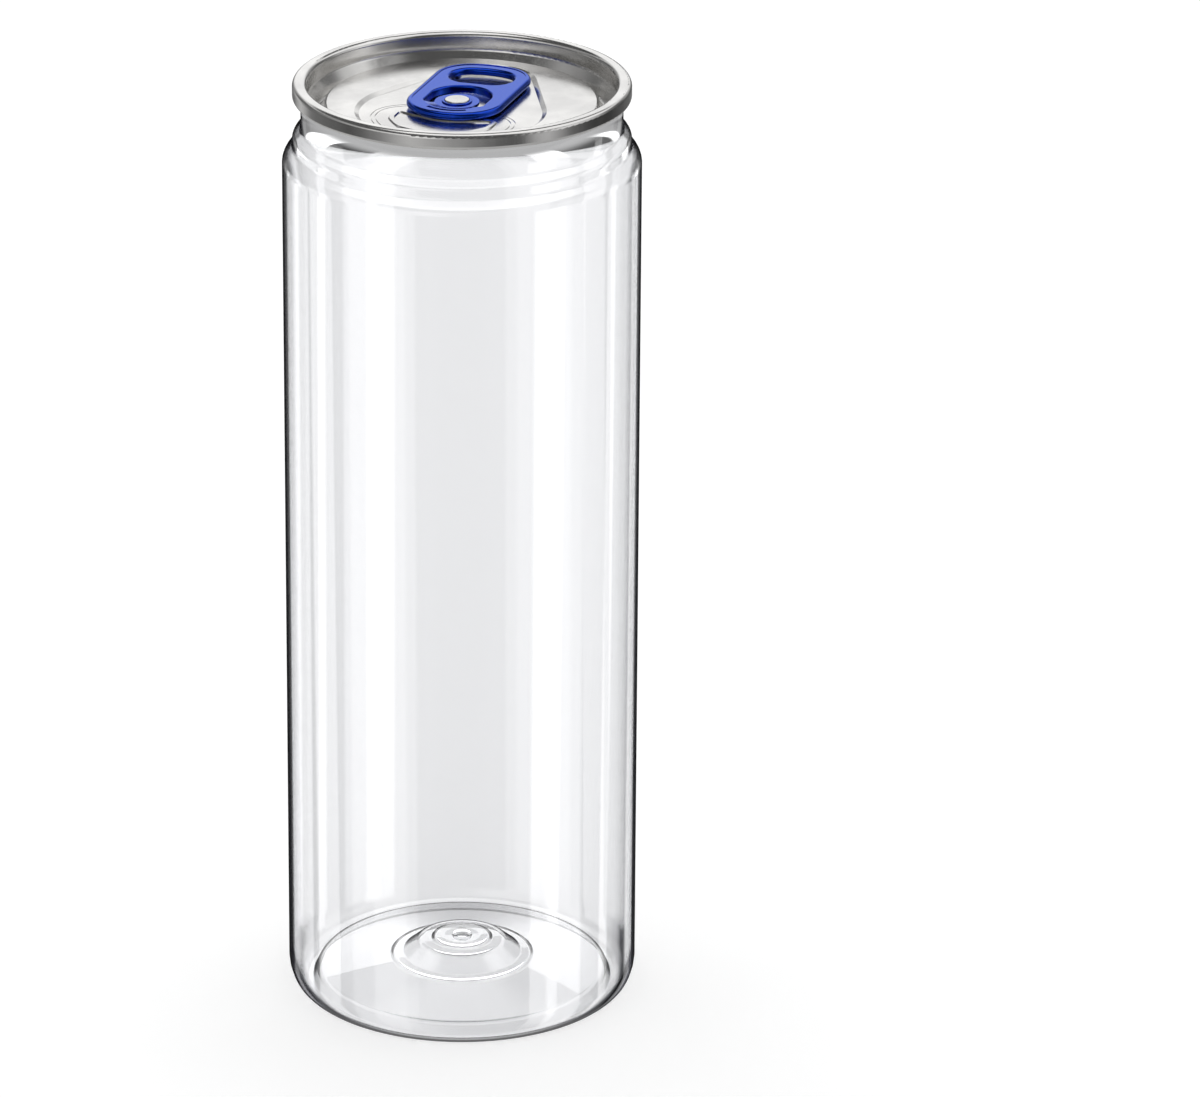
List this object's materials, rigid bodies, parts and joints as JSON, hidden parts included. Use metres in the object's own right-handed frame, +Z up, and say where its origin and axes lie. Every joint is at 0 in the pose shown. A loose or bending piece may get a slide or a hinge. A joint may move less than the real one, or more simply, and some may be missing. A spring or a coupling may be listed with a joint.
{
  "type": "beverage can",
  "caption": "Tall slim clear plastic drinks can, empty, with a seamed aluminium easy-open end and a blue ring-pull tab.",
  "frame": {"origin": "on the can's axis at the level of its foot ring, which is the centre of the bounding box's underside", "axes": "+Z up along the can's axis; the pull tab lies along Y, finger ring to +Y and nose to -Y; X across the tab"},
  "size_m": [0.058, 0.058, 0.158],
  "materials": {
    "clear_plastic": "clear glossy PET, blow-moulded, colourless",
    "bare_aluminium": "bare rolled aluminium, satin with fine grain",
    "blue_lacquer": "glossy translucent blue lacquer on aluminium"
  },
  "bodies": {
    "root": {"can_body": "clear_plastic", "can_end": "bare_aluminium", "pull_tab": "blue_lacquer"}
  },
  "joints": []
}
